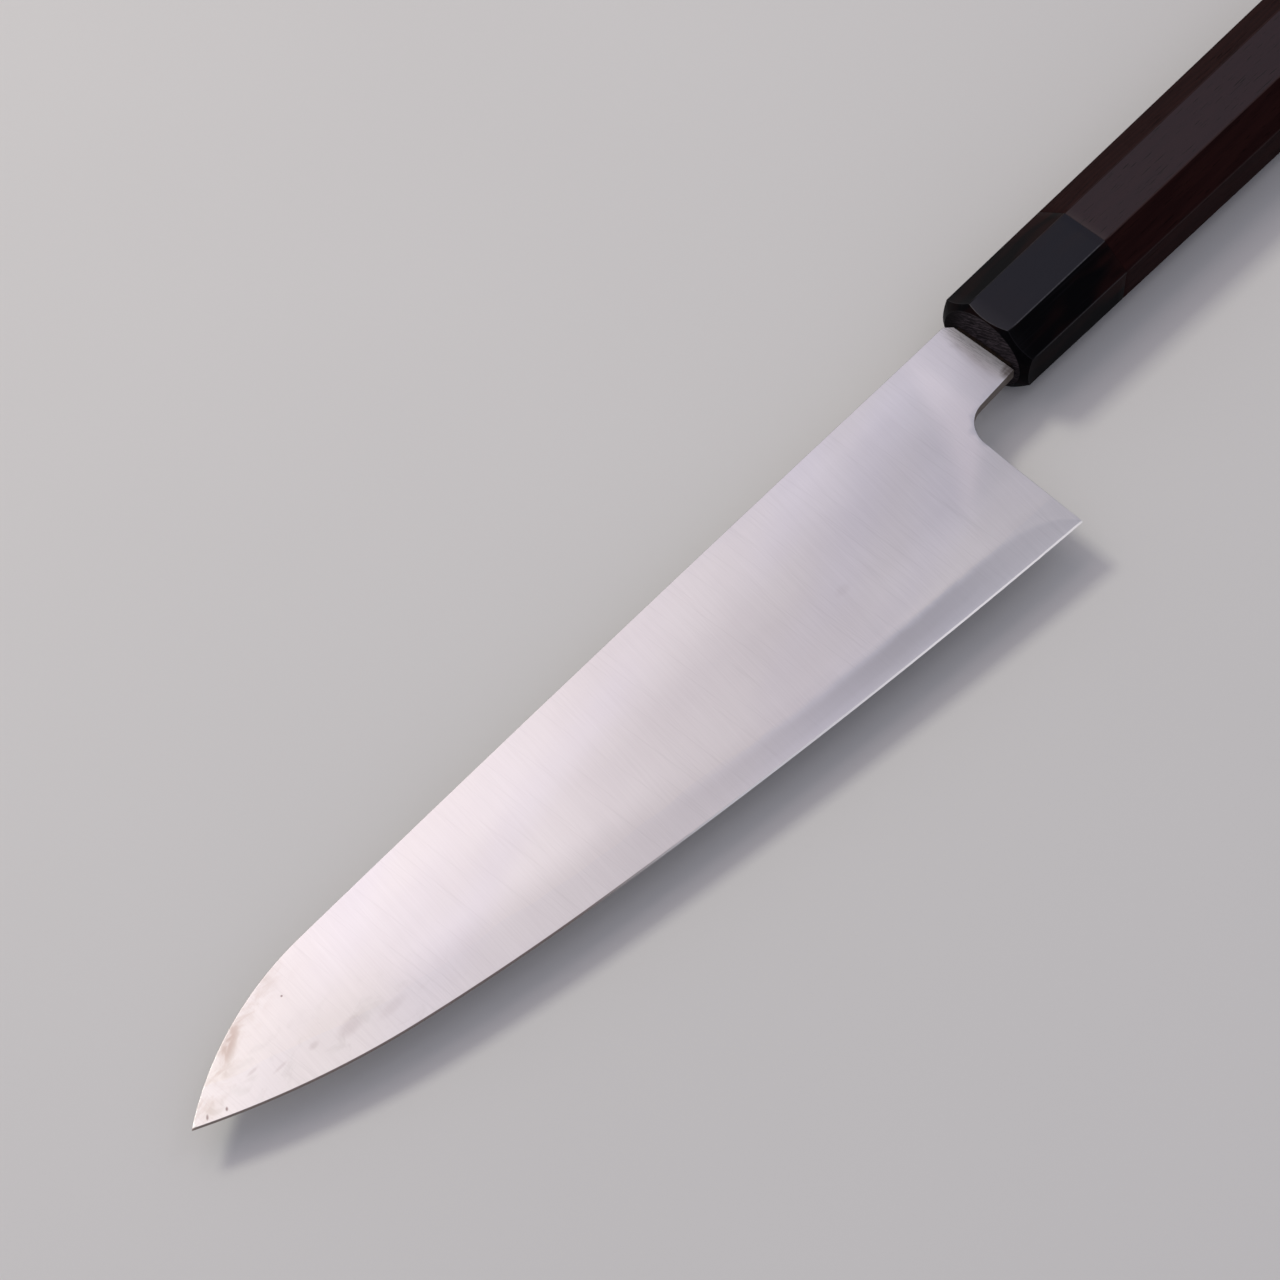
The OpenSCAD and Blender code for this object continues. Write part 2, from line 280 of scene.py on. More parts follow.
def spine_line(depth, spacing):
    """Line at a depth from the spine, from the cut at the shoulders to the tip."""
    start = SHOULDER_X + SHOULDER_CUT + depth * (math.sqrt(2) - 1)
    bow = SPINE_ANGLE * stations(BOW[1] * SPINE_ANGLE, spacing)
    drop = SPINE_ANGLE + (DROP_END_ANGLE - SPINE_ANGLE) * stations(DROP_LENGTH, spacing)
    y = depth - SPINE_Y
    arcs = [rise(BOW[0], BOW[1] - depth, bow), rise(DROP[0], DROP[1] - depth, drop)]
    return joined([segment([start, y], [SPINE_BOW_X, y], spacing)] + arcs)


def cut_line(depth, spacing):
    """Line at a depth from the cut at the shoulders, from the spine's line down to them."""
    front = SHOULDER_X + SHOULDER_CUT + depth * (math.sqrt(2) - 1)
    low = SHOULDER_CUT + depth * math.sqrt(2) - SPINE_Y
    end = [SHOULDER_LINE_X, low + SHOULDER_X - SHOULDER_LINE_X]
    return segment([front, depth - SPINE_Y], end, spacing)


def back_line(depth, spacing):
    """Line at a depth from the neck's lower side, the choil and the heel line."""
    reach = CHOIL_RADIUS + depth
    start_angle, end_angle = NECK_FLARE, math.pi / 2 - HEEL_LEAN
    angles = start_angle + (end_angle - start_angle) * stations(CHOIL_RADIUS * 1.5, spacing * 0.5)
    arc = rise(CHOIL, reach, angles)
    neck_y = NECK_Y + SHOULDER_X * math.tan(NECK_FLARE) - depth / math.cos(NECK_FLARE)
    neck = segment([SHOULDER_X, neck_y], arc[0], spacing)
    heel_end = HEEL + depth * np.array([math.cos(HEEL_LEAN), -math.sin(HEEL_LEAN)])
    return joined([neck, arc, segment(arc[-1], heel_end, spacing)])


def cladding_depth(along):
    """Depth of the line where the cladding ends and the core comes out: it wanders a little."""
    wander = 0.32 * np.sin(along / 7.3 + 1.0) + 0.22 * np.sin(along / 3.1) * np.sin(along / 19.0)
    return CLADDING_DEPTH + wander + 0.12 * np.sin(along / 1.7 + 0.6)


def band_depth(along):
    """Depth of the polished band along the edge: it rounds into the heel's corner."""
    sweep = 1 - np.exp(-np.maximum(along, 0) / 5.0)
    return 0.3 + 7.0 * sweep + 0.35 * np.sin(along / 16.0 + 0.8)


# ---------------------------------------------------------------- meshes

def runs(points, keep):
    """The stretches of a line whose points are kept."""
    out, current = [], []
    for p, k in zip(points, keep):
        if k:
            current.append(p)
        elif current:
            out.append(np.array(current))
            current = []
    if current:
        out.append(np.array(current))
    return [r for r in out if len(r) > 1]


def blade_plan():
    """Triangles of the blade and tang seen square on, with lines where the surface bends."""
    spacing, tang_spacing = 0.7, 4
    half_front, half_back = TANG_HALF_FRONT_Y, TANG_HALF_BACK_Y
    tang_bend = TANG_POINT - TANG_LENGTH
    cut_end = [SHOULDER_X, SHOULDER_CUT - SPINE_Y]
    tang_end = [(tang_bend, -half_back), (-TANG_LENGTH, -half_back / 2)]
    tang_end += [(x, -y) for x, y in reversed(tang_end)]
    outline = joined(
        [
            back_line(0.0, spacing),
            edge_line(lambda s: 0 * s, spacing),
            spine_line(0.0, spacing)[::-1],
            segment([SHOULDER_X + SHOULDER_CUT, -SPINE_Y], cut_end, spacing),
            segment(cut_end, [SHOULDER_X, -half_front], spacing),
            segment([SHOULDER_X, -half_front], [tang_bend, -half_back], tang_spacing),
            np.array(tang_end),
            segment([tang_bend, half_back], [SHOULDER_X, half_front], tang_spacing),
            segment([SHOULDER_X, half_front], back_line(0.0, spacing)[0], spacing),
        ]
    )[:-1]

    lines = []
    for depth in (0.01, 0.03, 0.06, 0.1, 0.16):
        for line in (spine_line(depth, spacing), back_line(depth, spacing)):
            lines += runs(line, (edge_frame(line)[0] > 0.75) & (line[:, 0] > 0.9))
        lines.append(cut_line(depth, spacing))
    for depth in (BEVEL_WIDTH, BEVEL_WIDTH + 0.4):
        line = edge_line(lambda s: depth + 0 * s, spacing)
        lines += runs(line, (spine_depth(line) > 0.05) & (back_depth(line) > 0.05))
    line = edge_line(cladding_depth, spacing)
    lines += runs(line, (spine_depth(line) > 0.02) & (back_depth(line) > 0.02))
    low = 0.1 + SHOULDER_CUT - SPINE_Y
    lines.append(segment([SHOULDER_LINE_X, low], [SHOULDER_LINE_X, NECK_Y - 0.1], spacing))

    step = 1.3
    rows = []
    for j, y in enumerate(np.arange(-SPINE_Y, HEEL[1], step * 0.87)):
        x = np.arange(1.5, TIP_X, step) + (j % 2) * step / 2
        rows.append(np.column_stack([x, np.full_like(x, y)]))
    inner = np.vstack(rows)
    depth, along = edge_frame(inner)
    inner = inner[
        (depth > 1.7)
        & (spine_depth(inner) > 0.6)
        & (back_depth(inner) > 0.6)
        & (cut_depth(inner) > 0.5)
        & (np.abs(depth - cladding_depth(along)) > 0.5)
    ]

    coords, edges = [], []
    for line, closed in [(outline, True)] + [(one, False) for one in lines]:
        first = len(coords)
        coords += [Vector(p) for p in line]
        edges += [(first + i, first + i + 1) for i in range(len(line) - 1)]
        if closed:
            edges.append((first + len(line) - 1, first))
    coords += [Vector(p) for p in inner]
    verts, _, faces, _, _, _ = delaunay_2d_cdt(coords, edges, [], 1, 1e-5)
    verts = np.array([tuple(v) for v in verts])
    faces = np.array(faces)
    a, b, c = (verts[faces[:, i]] for i in range(3))
    area = (b - a)[:, 0] * (c - a)[:, 1] - (b - a)[:, 1] * (c - a)[:, 0]
    faces[area < 0] = faces[area < 0][:, ::-1]
    return verts, faces


def new_piece(name, verts, faces, material, attributes=None, sharp_deg=30.0, seam=()):
    """A mesh object from knife coordinates, smooth but for its sharp edges, riding on the part.
    The seam is pairs of vertices whose edges are sharp too."""
    mesh = bpy.data.meshes.new(name)
    placed = np.asarray(verts, float) * MM + np.array(AXIS)
    mesh.from_pydata([tuple(v) for v in placed], [], [tuple(int(i) for i in f) for f in faces])
    mesh.validate(verbose=False)
    for attribute, values in (attributes or {}).items():
        layer = mesh.attributes.new(attribute, "FLOAT", "POINT")
        layer.data.foreach_set("value", np.asarray(values, np.float32))
    mesh.shade_smooth()
    mesh.set_sharp_from_angle(angle=math.radians(sharp_deg))
    seam = set(seam)
    for edge in mesh.edges:
        if seam and tuple(sorted(edge.vertices)) in seam:
            edge.use_edge_sharp = True
    flat_uv(mesh)
    piece = bpy.data.objects.new(name, mesh)
    bpy.context.scene.collection.objects.link(piece)
    mesh.materials.append(material)
    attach(piece, "root")
    return piece


def flat_uv(mesh):
    """UVs that follow the knife's length and height, which give brushed metal its direction."""
    co = np.zeros(len(mesh.vertices) * 3, np.float32)
    mesh.vertices.foreach_get("co", co)
    co = co.reshape(-1, 3)
    index = np.zeros(len(mesh.loops), np.int32)
    mesh.loops.foreach_get("vertex_index", index)
    layer = mesh.uv_layers.new(name=UV_NAME)
    layer.data.foreach_set("uv", (co[index][:, :2] * 2).astype(np.float32).ravel())


def shell(faces, count, top, bottom):
    """Closed solid between two heights over the same triangles: (vertex order, faces)."""
    used = np.unique(faces)
    place = -np.ones(count, int)
    place[used] = np.arange(len(used))
    f = place[faces]
    n = len(used)
    out = [tuple(t) for t in f] + [(t[2] + n, t[1] + n, t[0] + n) for t in f]
    directed = dict.fromkeys((t[i], t[(i + 1) % 3]) for t in f for i in range(3))
    for a, b in directed:
        if (b, a) not in directed:
            out.append((b, a, a + n, b + n))
    return used, out, np.concatenate([top[used], bottom[used]])


def ring_solid(rings, closed):
    """Solid from rings of the same number of points. It closes on itself or ends in two fans."""
    n = len(rings[0])
    verts = np.vstack(rings)
    faces = []
    count = len(rings)
    for k in range(count if closed else count - 1):
        a, b = k * n, ((k + 1) % count) * n
        for i in range(n):
            j = (i + 1) % n
            faces.append((a + i, a + j, b + j, b + i))
    if not closed:
        first, last = len(verts), len(verts) + 1
        verts = np.vstack([verts, rings[0].mean(0), rings[-1].mean(0)])
        end = (count - 1) * n
        for i in range(n):
            j = (i + 1) % n
            faces.append((first, j, i))
            faces.append((last, end + i, end + j))
    return verts, faces


def octagon(scale, inset, radius, flat_steps=8, corner_steps=5):
    """Section of the handle: an octagon with rounded corners, how much wear and painted glint each
    point gets, and which points lie on the two flats that face left and right."""
    count = len(CORNERS)
    normals = []
    for i in range(count):
        d = CORNERS[(i + 1) % count] - CORNERS[i]
        normals.append(np.array([d[1], -d[0]]) / np.linalg.norm(d))
    points, corner, flat, arcs = [], [], [], []
    for i in range(count):
        before, after = normals[i - 1], normals[i]
        mitre = (before + after) / (1 + before @ after)
        centre = CORNERS[i] * scale - (inset + radius) * mitre
        a, b = math.atan2(before[1], before[0]), math.atan2(after[1], after[0])
        turn = (b - a + math.pi) % (2 * math.pi) - math.pi
        t = a + turn * np.linspace(0, 1, corner_steps + 1)
        arcs.append(centre + radius * np.column_stack([np.cos(t), np.sin(t)]))
    for i in range(count):
        broad = float(i % 4 == 1)
        points.append(arcs[i])
        corner += [ARRIS_WEAR_AND_GLINT[i]] * len(arcs[i])
        flat += [0.0] * len(arcs[i])
        first, last = arcs[i][-1], arcs[(i + 1) % count][0]
        rim = 0.12 / np.linalg.norm(last - first)
        t = np.concatenate([[rim], np.linspace(0, 1, flat_steps + 1)[1:-1], [1 - rim]])
        points.append(first + t[:, None] * (last - first))
        corner += [0.0] * len(t)
        flat += [broad] * len(t)
    return np.vstack(points), np.array(corner), np.array(flat)


def fillet(before, at, after, radius, steps):
    """Arc that rounds a bend of a profile, or less of one where there is no room for it."""
    u = (before - at) / np.linalg.norm(before - at)
    v = (after - at) / np.linalg.norm(after - at)
    half = math.acos(float(np.clip(u @ v, -1, 1))) / 2
    reach = radius / math.tan(half)
    room = 0.45 * min(np.linalg.norm(before - at), np.linalg.norm(after - at))
    if reach > room:
        reach = room
        radius = reach * math.tan(half)
    centre = at + (u + v) / np.linalg.norm(u + v) * radius / math.sin(half)
    a, b = at + u * reach - centre, at + v * reach - centre
    t = np.linspace(0, 1, steps + 1)[:, None]
    total = math.pi - 2 * half
    return centre + (np.sin((1 - t) * total) * a + np.sin(t * total) * b) / math.sin(total)


def at_x(section, x):
    """Section points, given in y and z, at a station."""
    return np.column_stack([np.full(len(section), float(x)), section])


def handle_scale(x):
    """Size of the octagon at a station, against its size at the ferrule's front face."""
    return 1 - TAPER * x


def box_ring(directions, half_y, half_z):
    """Rectangle met by rays in the given directions."""
    reach = np.minimum(
        half_y / np.maximum(np.abs(directions[:, 0]), 1e-9),
        half_z / np.maximum(np.abs(directions[:, 1]), 1e-9),
    )
    return directions * reach[:, None]


# ---------------------------------------------------------------- materials

class Nodes:
    """Short names for the nodes that the materials are made of."""

    def __init__(self, name):
        self.material = bpy.data.materials.new(name)
        self.material.use_nodes = True
        self.tree = self.material.node_tree
        self.shader = self.tree.nodes["Principled BSDF"]
        self.here = self.new("ShaderNodeTexCoord").outputs["Object"]

    def new(self, kind, **settings):
        node = self.tree.nodes.new(kind)
        for key, value in settings.items():
            setattr(node, key, value)
        return node

    def put(self, socket, value):
        if isinstance(value, bpy.types.NodeSocket):
            self.tree.links.new(value, socket)
        elif isinstance(value, (tuple, list)) and len(value) == 3 and socket.type == "RGBA":
            socket.default_value = (*value, 1)
        else:
            socket.default_value = value

    def grey(self, value):
        """A number as an even colour."""
        node = self.new("ShaderNodeCombineColor")
        for i in range(3):
            self.put(node.inputs[i], value)
        return node.outputs[0]

    def math(self, operation, a, b=0.0, clamp=False):
        node = self.new("ShaderNodeMath", operation=operation, use_clamp=clamp)
        self.put(node.inputs[0], a)
        self.put(node.inputs[1], b)
        return node.outputs[0]

    def times(self, *values):
        """Product of numbers."""
        result = values[0]
        for value in values[1:]:
            result = self.math("MULTIPLY", result, value)
        return result

    def plus(self, *values):
        """Sum of numbers."""
        result = values[0]
        for value in values[1:]:
            result = self.math("ADD", result, value)
        return result

    def minus(self, a, b):
        return self.math("SUBTRACT", a, b)

    def mix(self, share, a, b, blend="MIX"):
        node = self.new("ShaderNodeMix", data_type="RGBA", blend_type=blend)
        self.put(node.inputs[0], share)
        self.put(node.inputs[6], a)
        self.put(node.inputs[7], b)
        return node.outputs[2]

    def rise(self, value, low, high, to_low=0.0, to_high=1.0):
        """Smooth step of a value from low to high."""
        node = self.new("ShaderNodeMapRange", interpolation_type="SMOOTHSTEP")
        for i, v in enumerate((value, low, high, to_low, to_high)):
            self.put(node.inputs[i], v)
        return node.outputs[0]

    def curve(self, value, stops):
        """Smooth curve of a value from 0 to 1 through (position, level) stops."""
        node = self.new("ShaderNodeValToRGB")
        node.color_ramp.interpolation = "EASE"
        elements = node.color_ramp.elements
        while len(elements) < len(stops):
            elements.new(0.5)
        for element, (position, level) in zip(elements, stops):
            element.position = position
            element.color = (level, level, level, 1)
        self.put(node.inputs[0], value)
        return node.outputs[0]

    def attribute(self, name):
        return self.new("ShaderNodeAttribute", attribute_name=name).outputs["Fac"]

    def space(self, sizes_mm, turn_deg=(0, 0, 0), shift_mm=(0, 0, 0)):
        """Coordinates in which a pattern's features have these sizes along x, y and z."""
        turned = self.new("ShaderNodeMapping", vector_type="TEXTURE")
        self.put(turned.inputs["Vector"], self.here)
        turned.inputs["Rotation"].default_value = [math.radians(t) for t in turn_deg]
        turned.inputs["Location"].default_value = [s * MM for s in shift_mm]
        turned.inputs["Scale"].default_value = [s * MM for s in sizes_mm]
        return turned.outputs[0]

    def noise(self, space, detail=2.0, roughness=0.5, distortion=0.0):
        node = self.new("ShaderNodeTexNoise")
        self.put(node.inputs["Vector"], space)
        node.inputs["Scale"].default_value = 1.0
        node.inputs["Detail"].default_value = detail
        node.inputs["Roughness"].default_value = roughness
        node.inputs["Distortion"].default_value = distortion
        return node.outputs["Fac"]

    def axes(self, vector=None):
        node = self.new("ShaderNodeSeparateXYZ")
        self.put(node.inputs[0], self.here if vector is None else vector)
        return node.outputs

    def spot(self, centre_mm, radii_mm, soft=0.6, turn_deg=0.0):
        """Soft elliptical patch on the blade, 1 in the middle and 0 outside."""
        where = [c * MM + a for c, a in zip((*centre_mm, 0.0), AXIS)]
        turned = self.new("ShaderNodeMapping", vector_type="TEXTURE")
        self.put(turned.inputs["Vector"], self.here)
        turned.inputs["Location"].default_value = where
        turned.inputs["Rotation"].default_value = (0, 0, math.radians(turn_deg))
        turned.inputs["Scale"].default_value = [r * MM for r in (*radii_mm, 1e4)]
        length = self.new("ShaderNodeVectorMath", operation="LENGTH")
        self.put(length.inputs[0], turned.outputs[0])
        return self.rise(length.outputs["Value"], 1.0, 1.0 - soft)

    def bump(self, height, distance_mm, strength=1.0, below=None):
        node = self.new("ShaderNodeBump")
        node.inputs["Strength"].default_value = strength
        node.inputs["Distance"].default_value = distance_mm * MM
        self.put(node.inputs["Height"], height)
        if below is not None:
            self.put(node.inputs["Normal"], below)
        return node.outputs[0]

    def finish(self, **inputs):
        for name, value in inputs.items():
            self.put(self.shader.inputs[name.replace("_", " ")], value)
        return self.material


def steel_material(name, core):
    """Satin steel, ground across the blade, with a polished band, patina, small marks and painted
    light and shade.
    """
    n = Nodes(name)
    edge, along, spine = n.attribute("edge_mm"), n.attribute("along_mm"), n.attribute("spine_mm")
    root = n.attribute("root_mm")

    # Grinding marks run across the blade and lean a little toward the tip.
    lean = -8
    fine = n.noise(n.space((0.26, 14, 14), (0, 0, lean)), 3, 0.6)
    coarse = n.noise(n.space((0.7, 48, 48), (0, 0, lean - 3), (3, 1, 0)), 3, 0.6)
    stray = n.noise(n.space((0.3, 24, 24), (0, 0, lean + 9), (7, 5, 0)), 0, 0.5)
    stray = n.rise(stray, 0.66, 0.78)
    cloud = n.noise(n.space((30, 15, 15)), 2, 0.5)
    mottle = n.noise(n.space((5.5, 3.4, 3.4)), 3, 0.6, 0.6)
    mottle_off = n.minus(mottle, 0.5)

    # The polished band along the edge gets painted shade, darkest at its upper border and fading
    # toward the tip, standing in for the darker surround that its curved face reflects. The border
    # is crisp by the heel and soft farther on.
    band = n.plus(n.attribute("band"), n.times(mottle_off, 0.16))
    band_place = n.math("ADD", n.times(band, 0.5), 0.5, clamp=True)
    crisp = [(0.0, 0.5), (0.32, 0.5), (0.46, 0.57), (0.62, 0.12)]
    crisp += [(0.74, 0.15), (0.88, 0.28), (1.0, 0.46)]
    soft = [(0.0, 0.5), (0.28, 0.52), (0.44, 0.48), (0.66, 0.12)]
    soft += [(0.80, 0.17), (0.92, 0.30), (1.0, 0.44)]
    shade = n.mix(n.rise(along, 25, 70), n.curve(band_place, crisp), n.curve(band_place, soft))
    presence = n.times(n.rise(along, 118, 44), n.rise(along, 0, 48, 0.25, 1.2))
    shade = n.times(n.minus(shade, 0.5), presence)
    in_band = n.math("MULTIPLY", n.rise(band, -0.02, 0.12), presence, clamp=True)

    tone = n.mix(n.rise(cloud, 0.3, 0.7), (0.80, 0.785, 0.79), (0.845, 0.83, 0.83))
    tint = n.noise(n.space((60, 22, 22), (0, 0, 20), (11, 4, 0)), 1, 0.5)
    tint = n.mix(n.rise(tint, 0.35, 0.65), (0.985, 0.985, 1.025), (1.005, 1.0, 0.99))
    tone = n.mix(1.0, tone, tint, "MULTIPLY")
    warmer = n.mix(1.0, tone, (1.0, 0.995, 0.96), "MULTIPLY")
    tone = n.mix(n.rise(along, 150, 200), tone, warmer)
    if core:
        tone = n.mix(0.25, tone, (0.76, 0.77, 0.80))
    # The band also gets a painted bluish reflection.
    tone = n.mix(n.times(in_band, 0.6), tone, (0.74, 0.76, 0.82))
    grain = n.plus(n.times(fine, 0.11), n.times(coarse, 0.07), n.times(stray, -0.035))
    grain = n.times(n.minus(grain, 0.09), n.minus(1.0, n.times(in_band, 0.7)))
    level = n.plus(1.0, n.plus(grain, n.times(shade, 0.56)))

    # Painted light and dark areas standing in for reflections off the grind's slight waves, and
    # painted shade next to the ferrule: amount and where it shows.
    middle = n.rise(along, 195, 150)
    for wave in (
        (0.075, n.rise(spine, 16, 3)),
        (-0.075, n.rise(spine, 8, 22), n.rise(along, 160, 100)),
        (-0.09, n.rise(edge, 15, 4), n.rise(along, 65, 110), middle),
        (0.09, n.rise(edge, 6, 14), n.rise(along, 85, 125), middle, n.rise(spine, 0, 12, 0.5, 1)),
        (0.06, n.rise(spine, 9, 3), n.rise(root, 10, 20), n.rise(along, 50, 20)),
        (0.05, n.rise(edge, 21, 15), n.rise(edge, 7, 10), n.rise(along, 50, 20)),
        (-0.05, n.rise(root, 14, 5)),
    ):
        level = n.plus(level, n.times(*wave))
    tone = n.mix(1.0, tone, n.grey(level), "MULTIPLY")

    # Cloudy patches near the tip, and a brown bloom along the drop of the spine.
    clouds = n.times(n.rise(mottle, 0.53, 0.68), n.rise(edge, 17, 5), n.rise(along, 140, 178))
    tone = n.mix(n.times(clouds, 0.15), tone, (0.50, 0.45, 0.44))
    bloom = n.times(n.rise(spine, 6.0, 0.4), n.rise(along, 172, 196), n.rise(mottle, 0.40, 0.66))
    tone = n.mix(n.times(bloom, 0.42), tone, (0.56, 0.42, 0.35))
    smear = n.times(n.spot((209.3, -1.4), (6.2, 1.6), 0.8, 27), n.rise(mottle, 0.30, 0.62))
    tone = n.mix(n.times(smear, 0.36), tone, (0.46, 0.31, 0.25))
    # Specks and stains: middle, half sizes, turn and how strong each is.
    for centre, radii, turn, share in (
        ((218.6, 7.3), (0.62, 0.34), 45, 0.75),
        ((222.1, 5.9), (0.85, 0.34), 45, 0.65),
        ((196.0, -1.2), (0.34, 0.30), 0, 0.8),
        ((210.3, 5.5), (1.9, 0.5), 0, 0.18),
        ((206.3, 8.6), (2.4, 0.45), 0, 0.15),
        ((199.2, 10.0), (1.6, 0.9), 0, 0.16),
        ((192.0, 12.2), (4.4, 2.0), 0, 0.17),
        ((184.0, 15.0), (4.6, 1.5), 0, 0.10),
        ((62.0, 17.0), (2.6, 1.4), 0, 0.06),
    ):
        mark = n.times(n.spot(centre, radii, 0.8, turn), share)
        tone = n.mix(mark, tone, (0.19, 0.11, 0.10))

    # By the ferrule the face is dull and scraped and darkened by painted shade from the ferrule,
    # with brown residue in the corner of the neck.
    dull_and_shaded = n.rise(n.plus(root, n.times(mottle_off, 2.4)), 4.6, 0.8)
    scrape = n.noise(n.space((0.24, 3.2, 3.2), (0, 0, 3), (5, 2, 0)), 4, 0.7, 0.3)
    scrape = n.times(n.rise(scrape, 0.44, 0.66), dull_and_shaded)
    tone = n.mix(n.times(dull_and_shaded, 0.12), tone, (0.26, 0.24, 0.26))
    tone = n.mix(n.times(scrape, 0.42), tone, (0.15, 0.14, 0.16))
    corner = n.times(n.spot((1.2, 8.2), (3.0, 2.2)), n.rise(mottle, 0.35, 0.6))
    tone = n.mix(n.times(corner, 0.7), tone, (0.075, 0.045, 0.03))

    # The spine, the neck's side and the choil are darker brown with marks along them: partly
    # patina, partly painted shade that keeps these walls and their eased arrises from catching the
    # light.
    upright = n.math("ABSOLUTE", n.axes(n.new("ShaderNodeNewGeometry").outputs["True Normal"])[2])
    wall = n.rise(upright, 0.965, 0.8)
    length_marks = n.noise(n.space((16, 16, 0.16)), 3, 0.6)
    brown = n.mix(length_marks, (0.085, 0.066, 0.050), (0.24, 0.205, 0.175))
    tone = n.mix(n.times(wall, 0.92), tone, brown)

    # The final bevel is bright steel near the heel; toward the tip it is painted dark brown, a
    # painted reflection of the dark surround.
    bevel = n.rise(edge, BEVEL_WIDTH + 0.02, BEVEL_WIDTH - 0.04)
    bevel_painted_tone = n.mix(n.rise(along, 90, 135), (0.90, 0.88, 0.86), (0.20, 0.155, 0.13))
    tone = n.mix(n.times(bevel, 0.9), tone, bevel_painted_tone)

    # The grinding marks are polished away in the band.
    keep = n.minus(1.0, n.times(in_band, 0.95))
    rough = n.times(n.minus(fine, 0.5), n.times(keep, 0.10))
    rough = n.plus(0.32 if core else 0.34, rough, n.times(n.minus(cloud, 0.5), 0.05))
    rough = n.minus(rough, n.times(in_band, 0.04))
    rough = n.plus(rough, n.times(n.plus(bloom, clouds), 0.08))
    rough = n.plus(rough, n.times(wall, 0.25), n.times(dull_and_shaded, 0.30))

    marks = n.plus(fine, n.times(stray, -0.2))
    relief = n.bump(cloud, 0.04, 0.2)
    relief = n.bump(n.times(coarse, keep), 0.007, 0.6, relief)
    relief = n.bump(n.times(marks, keep), 0.004, 0.8, relief)
    tangent = n.new("ShaderNodeTangent", direction_type="UV_MAP", uv_map=UV_NAME)
    return n.finish(
        Base_Color=tone,
        Metallic=1.0,
        Roughness=rough,
        Anisotropic=0.45,
        Anisotropic_Rotation=0.25,
        Tangent=tangent.outputs[0],
        Normal=relief,
    )


def horn_material():
    """Polished black horn: faint brown and grey fibres along it, dull where it was cut across."""
    n = Nodes("horn_black")
    fibre = n.noise(n.space((22, 0.55, 0.55)), 4, 0.6, 0.4)
    patch = n.noise(n.space((18, 6, 6), shift_mm=(4, 0, 0)), 2, 0.5)
    speck = n.noise(n.space((0.5, 0.5, 0.5)), 2, 0.5)
    wear_and_glint, cut, flat = n.attribute("arris"), n.attribute("cut"), n.attribute("flat")
    along, height, _ = n.axes()

    tone = n.mix(n.rise(fibre, 0.5, 0.8), (0.0022, 0.0021, 0.0026), (0.0065, 0.0056, 0.0068))
    # Painted bluish sky reflection on the two broad flats.
    tone = n.mix(n.times(flat, 0.7), tone, (0.0065, 0.0065, 0.0145))
    rear = n.rise(along, AXIS.x - 14 * MM, AXIS.x - FERRULE_LENGTH * MM, 0.35, 0.9)
    warm = n.times(n.rise(patch, 0.45, 0.65), rear, n.rise(flat, 0.0, 1.0, 1.0, 0.2))
    tone = n.mix(warm, tone, (0.016, 0.0055, 0.005))
    # Lighter, speckled arrises: partly wear, partly a painted glint.
    speckled_wear_glint = n.times(wear_and_glint, n.rise(speck, 0.3, 0.7, 0.4, 1.0))
    tone = n.mix(n.times(speckled_wear_glint, 0.6), tone, (0.060, 0.060, 0.072))
    streak = n.noise(n.space((3, 2.4, 0.22), (26, 0, 0)), 3, 0.6, 0.8)
    face = n.mix(n.rise(streak, 0.40, 0.68), (0.010, 0.008, 0.009), (0.062, 0.050, 0.055))
    toward_edge = n.rise(height, AXIS.y - 8.5 * MM, AXIS.y - 3 * MM, 0.15, 1.0)
    face = n.mix(toward_edge, (0.004, 0.0035, 0.004), face)
    tone = n.mix(cut, tone, face)

    relief = n.bump(fibre, 0.01, 0.25)
    return n.finish(
        Base_Color=tone,
        Roughness=n.plus(0.34, n.times(fibre, 0.12), n.times(cut, 0.18)),
        Normal=n.bump(speck, 0.003, 0.4, relief),
        Specular_IOR_Level=n.plus(0.015, n.times(wear_and_glint, 0.5), n.times(flat, 0.255)),
    )


